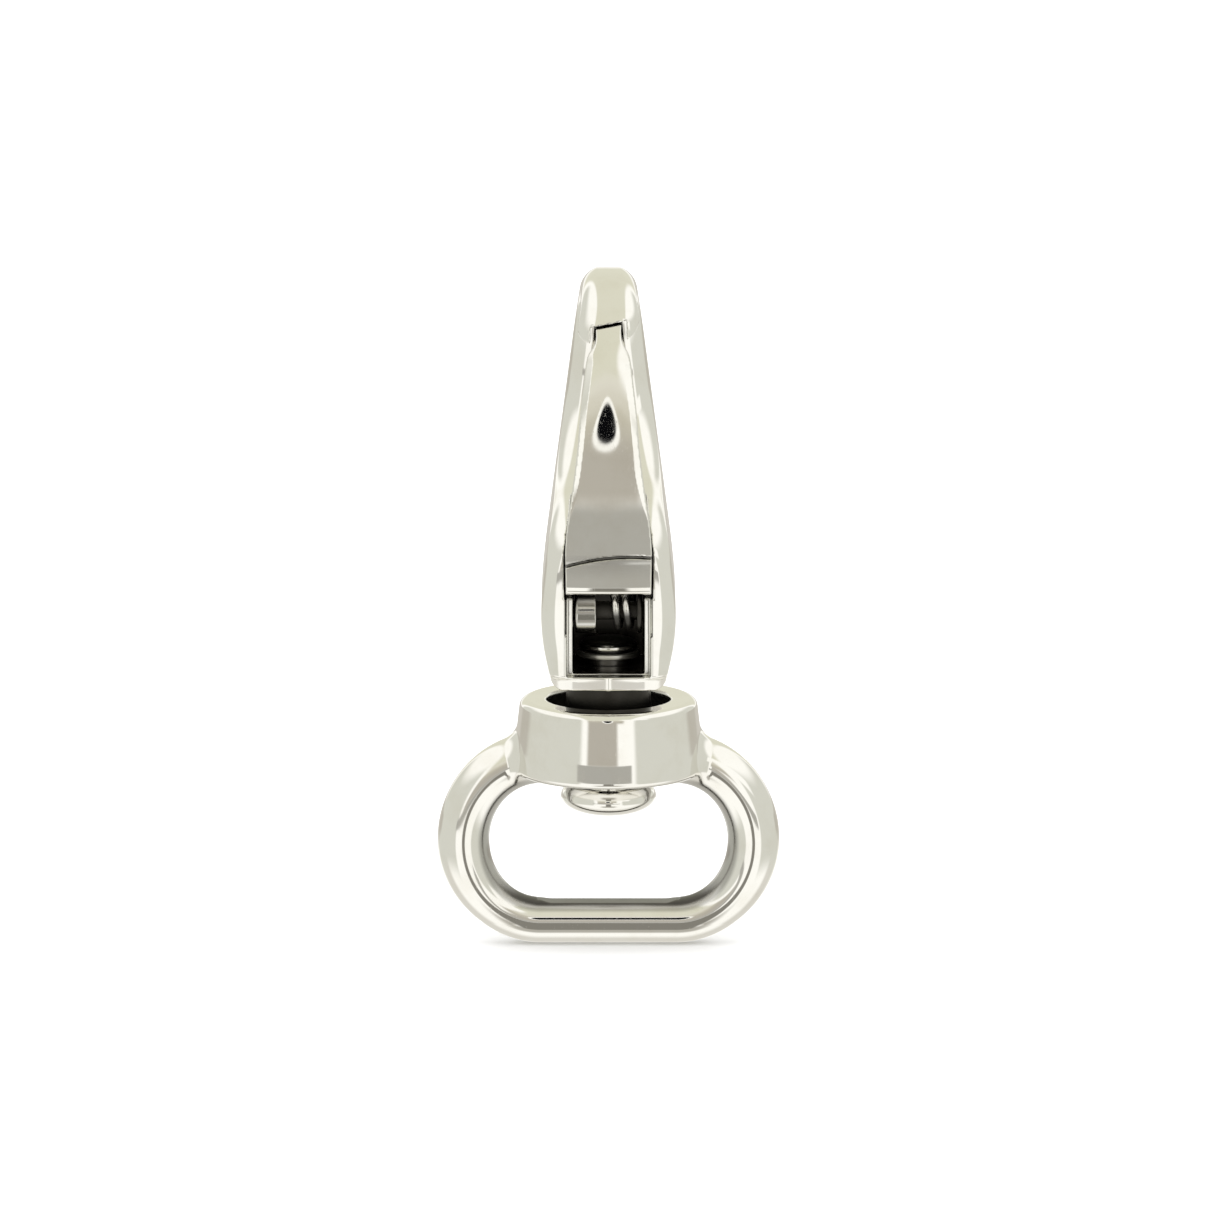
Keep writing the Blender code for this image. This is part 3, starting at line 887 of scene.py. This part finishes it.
def build_washer():
    bottom = POCKET_FLOOR + SEAT_GAP
    top = bottom + WASHER_THICKNESS
    inner = SHANK_RADIUS + 0.2
    soft = 0.12
    profile = [(inner + soft, top), (WASHER_RADIUS - soft, top), (WASHER_RADIUS, top - soft)]
    profile += [(WASHER_RADIUS, bottom + soft), (WASHER_RADIUS - soft, bottom), (inner + soft, bottom)]
    profile += [(inner, bottom + soft), (inner, top - soft)]
    washer = lathe("washer_stamping", profile)

    def painted_shade(x, y, z):
        """Painted shade: the washer is dark apart from its rim, which is left bright as it catches light
        through the window.
        """
        return 0.95 - 0.85 * blend_height(np.sqrt(x**2 + y**2), 3.2, 3.38)

    mark_painted_shade(washer, painted_shade)
    return washer


def build_pin():
    dome = 0.45
    profile = [(0, PIN_HALF_LENGTH)]
    profile += quarter((0, PIN_HALF_LENGTH - dome), PIN_RADIUS, dome, 85, 0, 10)
    profile += [(PIN_RADIUS, 6.0), (PIN_RADIUS, 4.5), (PIN_RADIUS, -4.5), (PIN_RADIUS, -6.0)]
    profile += quarter((0, -PIN_HALF_LENGTH + dome), PIN_RADIUS, dome, 0, -85, 10)
    profile.append((0, -PIN_HALF_LENGTH))
    pin = lathe("hinge_pin_rod", profile, 64, "X", (0.0, HINGE_Y, HINGE_Z))
    # Painted shade on the pin, apart from its ends.
    mark_painted_shade(pin, lambda x, y, z: 0.94 * (1 - blend_height(np.abs(x), 4.5, 6)))
    return pin


def spring_line():
    """Centre line of the wire: body leg, coil round the pin, gate leg."""
    steps = 48
    coil = []
    for i in range(int(steps * COIL_TURNS) + 1):
        turn = math.radians(90.0 + 360.0 * i / steps)
        x = COIL_START_X + COIL_PITCH * i / steps
        coil.append((x, HINGE_Y + COIL_RADIUS * math.cos(turn), HINGE_Z + COIL_RADIUS * math.sin(turn)))
    start, end = np.array(coil[0]), np.array(coil[-1])
    body_leg = np.array((coil[0][0], *BODY_LEG_END))
    gate_leg = np.array((coil[-1][0], *GATE_LEG_END))
    shares = np.linspace(0, 1, 12, endpoint=False)
    first = [tuple(body_leg + (start - body_leg) * t) for t in shares]
    last = [tuple(gate_leg + (end - gate_leg) * t) for t in shares]
    return first + coil + last[::-1]


def build_spring():
    line = np.array(spring_line())
    count, sides = len(line), 24
    along = np.gradient(line, axis=0)
    along /= np.linalg.norm(along, axis=1, keepdims=True)
    across = np.array([1.0, 0.0, 0.0])
    vertices, faces = [], []
    for place, direction in zip(line, along):
        one = across - direction * (across @ direction)
        one /= np.linalg.norm(one)
        two = np.cross(direction, one)
        for turn in np.linspace(0, 2 * math.pi, sides, endpoint=False):
            vertices.append(place + WIRE_RADIUS * (one * math.cos(turn) + two * math.sin(turn)))
    for ring in range(count - 1):
        for i in range(sides):
            j = (i + 1) % sides
            a, b = ring * sides, (ring + 1) * sides
            faces.append((a + i, a + j, b + j, b + i))
    faces.append(tuple(range(sides - 1, -1, -1)))
    faces.append(tuple(range((count - 1) * sides, count * sides)))
    spring = add_plain("spring_wire", np.array(vertices), faces)
    # Painted shade on the lower half of the coil.
    mark_painted_shade(spring, lambda x, y, z: 0.93 * (1 - blend_height(z, 17.8, 18.8)))
    return spring


# ---------------------------------------------------------------- node building

class Sums:
    """Builds Math and Mix nodes from ordinary-looking expressions."""

    def __init__(self, tree):
        self.tree = tree

    def math(self, operation, *inputs):
        node = self.tree.nodes.new("ShaderNodeMath")
        node.operation = operation
        for slot, value in zip(node.inputs, inputs):
            self.plug(slot, value)
        return node.outputs[0]

    def plug(self, slot, value):
        if isinstance(value, (int, float)):
            slot.default_value = value
        elif isinstance(value, tuple):
            slot.default_value = (*value, 1.0)
        else:
            self.tree.links.new(value, slot)

    def step(self, value, low, high):
        """0 at low, 1 at high, smooth between."""
        node = self.tree.nodes.new("ShaderNodeMapRange")
        node.interpolation_type = "SMOOTHSTEP"
        self.plug(node.inputs["Value"], value)
        self.plug(node.inputs["From Min"], low)
        self.plug(node.inputs["From Max"], high)
        return node.outputs["Result"]

    def window(self, value, low, high, soft):
        rising = self.step(value, low - soft, low + soft)
        falling = self.step(value, high + soft, high - soft)
        return self.math("MULTIPLY", rising, falling)

    def mix(self, share, one, two):
        node = self.tree.nodes.new("ShaderNodeMix")
        node.data_type = "RGBA"
        self.plug(node.inputs[0], share)
        self.plug(node.inputs[6], one)
        self.plug(node.inputs[7], two)
        return node.outputs[2]

    def noise(self, vector, scale, detail=4.0, roughness=0.5):
        node = self.tree.nodes.new("ShaderNodeTexNoise")
        self.plug(node.inputs["Vector"], vector)
        node.inputs["Scale"].default_value = scale
        node.inputs["Detail"].default_value = detail
        node.inputs["Roughness"].default_value = roughness
        return node.outputs["Fac"]


# ---------------------------------------------------------------- metals

def metal(name, colour, dull_colour, roughness, spread, scratch_depth, ripple_depth, seed, alone=False):
    """Plated or drawn metal: soft ripples of the casting, fine scratches, and duller patches.

    Depths are in millimetres, spread is how much rougher the worn spots are, and seed moves the pattern.
    Recesses get painted shade in the base colour, from ambient occlusion and from each point's stored
    painted shade. Where alone is true, only the piece itself counts as closing them in.
    """
    material = bpy.data.materials.new(name)
    material.use_nodes = True
    tree = material.node_tree
    shader = tree.nodes["Principled BSDF"]
    sums = Sums(tree)
    place = tree.nodes.new("ShaderNodeTexCoord").outputs["Object"]
    shift = tree.nodes.new("ShaderNodeMapping")
    shift.inputs["Location"].default_value = (seed * 0.37, seed * 0.91, seed * 0.53)
    tree.links.new(place, shift.inputs["Vector"])
    place = shift.outputs["Vector"]
    cloud = sums.noise(place, 260.0, 5.0, 0.6)
    patches = sums.step(cloud, 0.42, 0.72)
    stretched = tree.nodes.new("ShaderNodeMapping")
    stretched.inputs["Scale"].default_value = (9000.0, 9000.0, 500.0)
    stretched.inputs["Rotation"].default_value = (0.5, 0.35, 0.2)
    tree.links.new(place, stretched.inputs["Vector"])
    scratches = sums.noise(stretched.outputs["Vector"], 1.0, 2.0, 0.5)
    hairlines = sums.step(scratches, 0.66, 0.74)
    ripples = sums.noise(place, 120.0, 1.0, 0.4)
    worn = sums.math("MULTIPLY", patches, 0.7)
    # Painted shade: the base colour darkens towards the shade colour where ambient occlusion finds a recess
    # and where the stored painted shade is high.
    hidden = tree.nodes.new("ShaderNodeAmbientOcclusion")
    hidden.samples = 6
    hidden.only_local = alone
    hidden.inputs["Distance"].default_value = RECESS_REACH * MM
    open_share = sums.step(hidden.outputs["AO"], 0.22, 0.55)
    painted_shade = tree.nodes.new("ShaderNodeAttribute")
    painted_shade.attribute_name = "painted_shade"
    lit_share = sums.math("SUBTRACT", 1.0, painted_shade.outputs["Fac"])
    open_share = sums.math("MULTIPLY", open_share, lit_share)
    plated = sums.mix(worn, colour, dull_colour)
    sums.plug(shader.inputs["Base Color"], sums.mix(open_share, PAINTED_SHADE_COLOUR, plated))
    shader.inputs["Metallic"].default_value = 1.0
    level = sums.math("MULTIPLY_ADD", patches, spread, roughness)
    level = sums.math("MULTIPLY_ADD", hairlines, spread, level)
    closed_share = sums.math("SUBTRACT", 1.0, open_share)
    level = sums.math("MULTIPLY_ADD", closed_share, 0.3, level)
    sums.plug(shader.inputs["Roughness"], level)
    ripple = tree.nodes.new("ShaderNodeBump")
    ripple.inputs["Distance"].default_value = ripple_depth * MM
    ripple.inputs["Strength"].default_value = 1.0
    sums.plug(ripple.inputs["Height"], ripples)
    scratch = tree.nodes.new("ShaderNodeBump")
    scratch.inputs["Distance"].default_value = scratch_depth * MM
    scratch.inputs["Strength"].default_value = 1.0
    scratch.invert = True
    sums.plug(scratch.inputs["Height"], hairlines)
    tree.links.new(ripple.outputs["Normal"], scratch.inputs["Normal"])
    tree.links.new(scratch.outputs["Normal"], shader.inputs["Normal"])
    return material


# ---------------------------------------------------------------- studio

def build_world():
    """A white light tent as the metal mirrors it, with its grey front opening and the lens in it.

    A direction is given by its pitch (0 ahead, 90 overhead, -90 below, 180 behind) and by how far it
    lies aside of the middle plane, positive to the right, both in degrees.
    """
    world = bpy.data.worlds.new("studio")
    bpy.context.scene.world = world
    world.use_nodes = True
    tree = world.node_tree
    tree.nodes.clear()
    sums = Sums(tree)
    direction = tree.nodes.new("ShaderNodeTexCoord").outputs["Generated"]
    split = tree.nodes.new("ShaderNodeSeparateXYZ")
    tree.links.new(direction, split.inputs[0])
    x, y, z = split.outputs
    pitch = sums.math("DEGREES", sums.math("ARCTAN2", z, sums.math("MULTIPLY", y, -1.0)))
    aside = sums.math("DEGREES", sums.math("ARCSINE", x))
    up = sums.math("DEGREES", sums.math("ARCSINE", z))

    def panel(colour, paint, sides, heights, soft_sides, soft_heights, share=1.0, height=pitch):
        across = sums.window(aside, sides[0], sides[1], soft_sides)
        along = sums.window(height, heights[0], heights[1], soft_heights)
        mask = sums.math("MULTIPLY", sums.math("MULTIPLY", across, along), share)
        return sums.mix(mask, colour, paint)

    colour = sums.mix(0.0, WHITE, WHITE)
    colour = panel(colour, FLOOR_GLOW, (-95, 95), (-150, -88), 1, 15)
    colour = panel(colour, FLOOR_SHADE, (-14, 14), (-57, -36), 6, 6)
    colour = panel(colour, CEILING, (-27, 27), (24, 175), 3, 5)
    colour = panel(colour, SIDE_WALL, (-95, -34), (-27, 28), 3, 8, 1.0, up)
    colour = panel(colour, SIDE_WALL, (33, 95), (-27, 28), 3, 8, 1.0, up)
    colour = panel(colour, GREY_OPENING, (-60, 60), (-181, -166), 6, 4, 0.8)
    colour = panel(colour, WHITE, (14, 50), (19, 38), 4, 3)
    colour = panel(colour, GREY_OPENING, (-26, 11), (-5, 16), 2.5, 3)
    colour = panel(colour, GREY_OPENING, (5, 19), (5, 16), 2.5, 3)
    colour = panel(colour, GREY_RAMP, (-26, 19), (10, 25), 3, 6, 0.8)
    colour = panel(colour, GREY_SILL, (-38, 28), (-9.0, -4), 1.5, 0.8)
    colour = panel(colour, DARK_STAND, (-6, 6), (-40, -9.6), 1.2, 1.2)
    lens_aside = sums.math("SUBTRACT", aside, LENS_DIRECTION[0])
    lens_up = sums.math("SUBTRACT", pitch, LENS_DIRECTION[1])
    squares = sums.math("ADD", sums.math("POWER", lens_aside, 2.0), sums.math("POWER", lens_up, 2.0))
    distance = sums.math("SQRT", squares)
    rim = LENS_RADIUS + LENS_RIM
    colour = sums.mix(sums.step(distance, rim + LENS_SOFT, rim - LENS_SOFT), colour, WHITE)
    lens = sums.step(distance, LENS_RADIUS + LENS_SOFT, LENS_RADIUS - LENS_SOFT)
    colour = sums.mix(lens, colour, LENS_BLACK)
    path = tree.nodes.new("ShaderNodeLightPath")
    for seen in (path.outputs["Is Camera Ray"], path.outputs["Is Diffuse Ray"]):
        colour = sums.mix(seen, colour, PLAIN_WHITE)
    background = tree.nodes.new("ShaderNodeBackground")
    output = tree.nodes.new("ShaderNodeOutputWorld")
    tree.links.new(colour, background.inputs["Color"])
    tree.links.new(background.outputs[0], output.inputs["Surface"])


def build_floor():
    """A wide pale floor just under the strap eye; the metal mirrors the studio instead of it."""
    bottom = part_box("swivel_eye")[0].z - FLOOR_GAP
    count = 96
    turns = [2 * math.pi * i / count for i in range(count)]
    ring = [(FLOOR_RADIUS * math.cos(turn), FLOOR_RADIUS * math.sin(turn), bottom) for turn in turns]
    mesh = bpy.data.meshes.new("floor")
    mesh.from_pydata(ring, [], [tuple(range(count))])
    floor = bpy.data.objects.new("floor", mesh)
    bpy.context.scene.collection.objects.link(floor)
    material = bpy.data.materials.new("pale_floor")
    material.use_nodes = True
    tree = material.node_tree
    shader = tree.nodes["Principled BSDF"]
    sums = Sums(tree)
    place = tree.nodes.new("ShaderNodeTexCoord").outputs["Object"]
    cloud = sums.noise(place, 3.0, 3.0, 0.5)
    sums.plug(shader.inputs["Base Color"], sums.mix(cloud, (0.93, 0.93, 0.93), (0.95, 0.95, 0.95)))
    shader.inputs["Roughness"].default_value = 0.9
    shader.inputs["Specular IOR Level"].default_value = 0.1
    mesh.materials.append(material)
    floor.visible_glossy = False
    floor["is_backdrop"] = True


def build_lights():
    light = bpy.data.lights.new("ceiling_light", "AREA")
    light.shape = "DISK"
    light.size = 1.6
    light.energy = 4.0
    lamp = bpy.data.objects.new("ceiling_light", light)
    lamp.location = (0.0, -0.2, 1.5)
    lamp.visible_glossy = False
    bpy.context.scene.collection.objects.link(lamp)


def build_camera():
    elevation = math.radians(CAMERA_ELEVATION)
    target = Vector((AIM_ASIDE, AIM_HEIGHT * math.sin(elevation), AIM_HEIGHT * math.cos(elevation)))
    data = bpy.data.cameras.new("camera")
    data.sensor_width = 36.0
    data.lens = data.sensor_width * CAMERA_DISTANCE / FRAME_WIDTH
    data.clip_start = 0.05
    data.clip_end = 20.0
    camera = bpy.data.objects.new("camera", data)
    camera.location = target + CAMERA_DISTANCE * Vector((0.0, -math.cos(elevation), math.sin(elevation)))
    camera.rotation_euler = (math.pi / 2 - elevation, 0.0, 0.0)
    bpy.context.scene.collection.objects.link(camera)
    bpy.context.scene.camera = camera


# ---------------------------------------------------------------- assembly

def finish_piece(piece, node, material):
    piece.data.materials.append(material)
    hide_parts(node)


def main():
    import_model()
    cad_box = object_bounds()
    nickel = metal("polished_nickel", NICKEL, WORN_NICKEL, 0.045, 0.05, 0.0006, 0.004, 1)
    eye_nickel = metal("eye_nickel", NICKEL, WORN_NICKEL, 0.045, 0.05, 0.0006, 0.004, 5, True)
    gate_nickel = metal("gate_nickel", GATE_NICKEL, WORN_GATE_NICKEL, 0.035, 0.04, 0.0006, 0.004, 2)
    steel = metal("bright_steel", STEEL, WORN_STEEL, 0.18, 0.12, 0.003, 0.002, 3)
    washer_steel = metal("washer_steel", WASHER_STEEL, WORN_WASHER_STEEL, 0.34, 0.12, 0.003, 0.002, 6, True)
    spring_steel = metal("spring_steel", SPRING_STEEL, WORN_SPRING_STEEL, 0.2, 0.08, 0.001, 0.001, 4, True)

    pieces = [
        (build_eye(), "swivel_eye", "polished_nickel", eye_nickel, "eye"),
        (build_body(), "hook_body", "polished_nickel", nickel, "hook"),
        (build_gate(), "gate", "polished_nickel", gate_nickel, "gate"),
        (build_rivet(), "swivel_rivet", "polished_nickel", eye_nickel, "hook"),
        (build_washer(), "rivet_washer", "bright_steel", washer_steel, "hook"),
        (build_pin(), "gate_pin", "bright_steel", steel, "hook"),
    ]
    for piece, node, slot_name, material, body in pieces:
        finish_piece(piece, node, material)
        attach(piece, body)
    spring = build_spring()
    finish_piece(spring, "gate_spring", spring_steel)
    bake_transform(spring)

    build_world()
    build_floor()
    build_lights()
    build_camera()
    bpy.context.scene.view_settings.view_transform = "Standard"
    return cad_box


cad_box = main()
